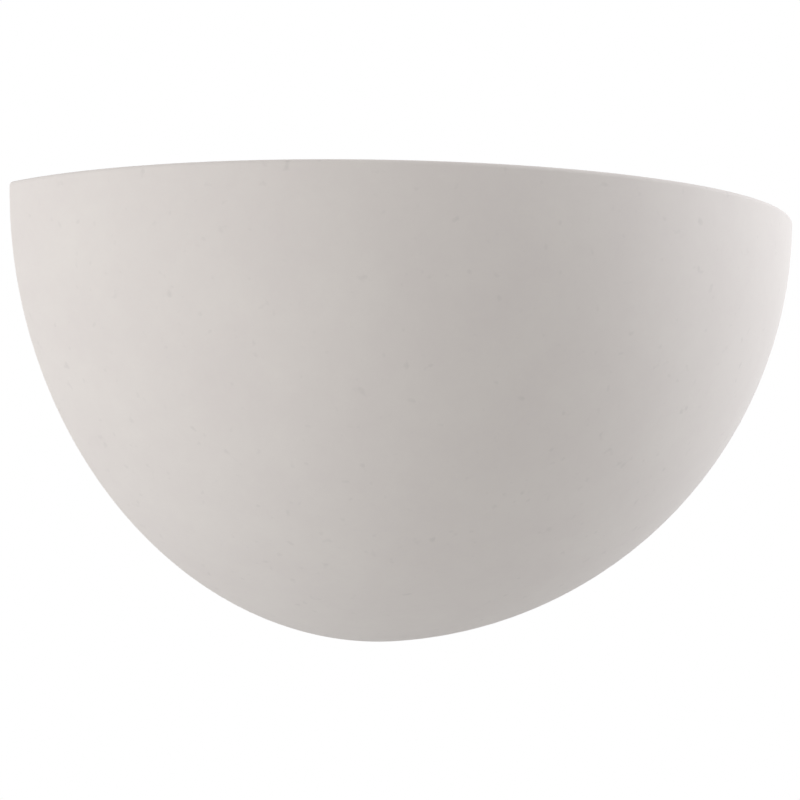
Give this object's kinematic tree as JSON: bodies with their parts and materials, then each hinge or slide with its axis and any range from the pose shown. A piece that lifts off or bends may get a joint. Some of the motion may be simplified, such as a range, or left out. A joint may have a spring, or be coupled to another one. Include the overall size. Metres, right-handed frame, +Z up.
{
  "type": "uplighter wall sconce",
  "caption": "Quarter-sphere wall uplighter in unglazed white ceramic, open at the top, hung on a steel wall plate that carries plug-in capsule lamps.",
  "frame": {"origin": "on the wall plane, midway between the centres of the two wall-screw slots", "axes": "+X to the right along the wall, +Y into the wall, +Z up; the bowl stands out towards -Y"},
  "size_m": [0.33, 0.165, 0.165],
  "materials": {
    "bisque_ceramic": "matte",
    "zinc_plated_steel": "satin",
    "zinc_plated_fasteners": "satin",
    "nickel_plated_brass": "polished",
    "brass": "satin",
    "tinned_copper": "satin",
    "spring_steel": "satin",
    "black_rubber": "matte",
    "white_polyamide": "moulded",
    "steatite": "matte",
    "quartz_glass": "clear",
    "molybdenum_wire": "drawn",
    "tungsten_wire": "drawn",
    "brown_silicone": "satin",
    "blue_silicone": "satin",
    "green_yellow_silicone": "satin"
  },
  "bodies": {
    "wall_plate": {"mounting_plate": "zinc_plated_steel", "bowl_studs": "zinc_plated_fasteners", "arm_pads": "black_rubber", "cable_grommet": "black_rubber", "terminal_block": "white_polyamide", "terminal_inserts": "brass", "terminal_screws": "zinc_plated_fasteners", "terminal_block_screws": "zinc_plated_fasteners", "earth_stud": "brass", "earth_ring_terminal": "tinned_copper", "earth_star_washer": "zinc_plated_fasteners", "earth_nut": "brass", "earth_lead": "green_yellow_silicone", "lead_ferrules": "tinned_copper", "bracket_screws": "zinc_plated_fasteners", "holder_bracket_left": "zinc_plated_steel", "holder_bracket_right": "zinc_plated_steel", "lampholder_left": "steatite", "lampholder_right": "steatite", "holder_base_left": "steatite", "holder_base_right": "steatite", "holder_contacts_left": "spring_steel", "holder_contacts_right": "spring_steel", "holder_screws_left": "zinc_plated_fasteners", "holder_screws_right": "zinc_plated_fasteners", "holder_nuts_left": "zinc_plated_fasteners", "holder_nuts_right": "zinc_plated_fasteners", "live_lead_left": "brown_silicone", "live_lead_right": "brown_silicone", "neutral_lead_left": "blue_silicone", "neutral_lead_right": "blue_silicone"},
    "bowl": {"ceramic_bowl": "bisque_ceramic", "stud_bushes": "black_rubber"},
    "washer_left": {"captive_washer_left": "zinc_plated_fasteners"},
    "nut_left": {"knurled_nut_left": "nickel_plated_brass"},
    "lamp_left": {"lamp_glass_left": "quartz_glass", "lamp_pins_left": "molybdenum_wire", "lamp_seals_left": "molybdenum_wire", "lamp_coil_left": "tungsten_wire"},
    "washer_right": {"captive_washer_right": "zinc_plated_fasteners"},
    "nut_right": {"knurled_nut_right": "nickel_plated_brass"},
    "lamp_right": {"lamp_glass_right": "quartz_glass", "lamp_pins_right": "molybdenum_wire", "lamp_seals_right": "molybdenum_wire", "lamp_coil_right": "tungsten_wire"}
  },
  "joints": [
    {"name": "bowl_off", "type": "slide", "parent": "wall_plate", "child": "bowl", "axis": [0, -1, 0], "range_m": [0, 0.12]},
    {"name": "washer_left_off", "type": "slide", "parent": "bowl", "child": "washer_left", "axis": [0, -1, 0], "range_m": [0, 0.0115]},
    {"name": "nut_left_turn", "type": "hinge", "parent": "washer_left", "child": "nut_left", "pos_m": [-0.136, -0.0155, 0], "axis": [0, -1, 0], "range_deg": [0, 5915]},
    {"name": "washer_right_off", "type": "slide", "parent": "bowl", "child": "washer_right", "axis": [0, -1, 0], "range_m": [0, 0.0115]},
    {"name": "nut_right_turn", "type": "hinge", "parent": "washer_right", "child": "nut_right", "pos_m": [0.136, -0.0155, 0], "axis": [0, -1, 0], "range_deg": [0, 5915]},
    {"name": "lamp_left_out", "type": "slide", "parent": "wall_plate", "child": "lamp_left", "axis": [0, 0, 1], "range_m": [0, 0.06]},
    {"name": "lamp_right_out", "type": "slide", "parent": "wall_plate", "child": "lamp_right", "axis": [0, 0, 1], "range_m": [0, 0.06]}
  ],
  "couplings": [
    {"joint": "nut_left_turn", "follows": "washer_left_off", "rad_per_m": 8976},
    {"joint": "nut_right_turn", "follows": "washer_right_off", "rad_per_m": 8976}
  ]
}
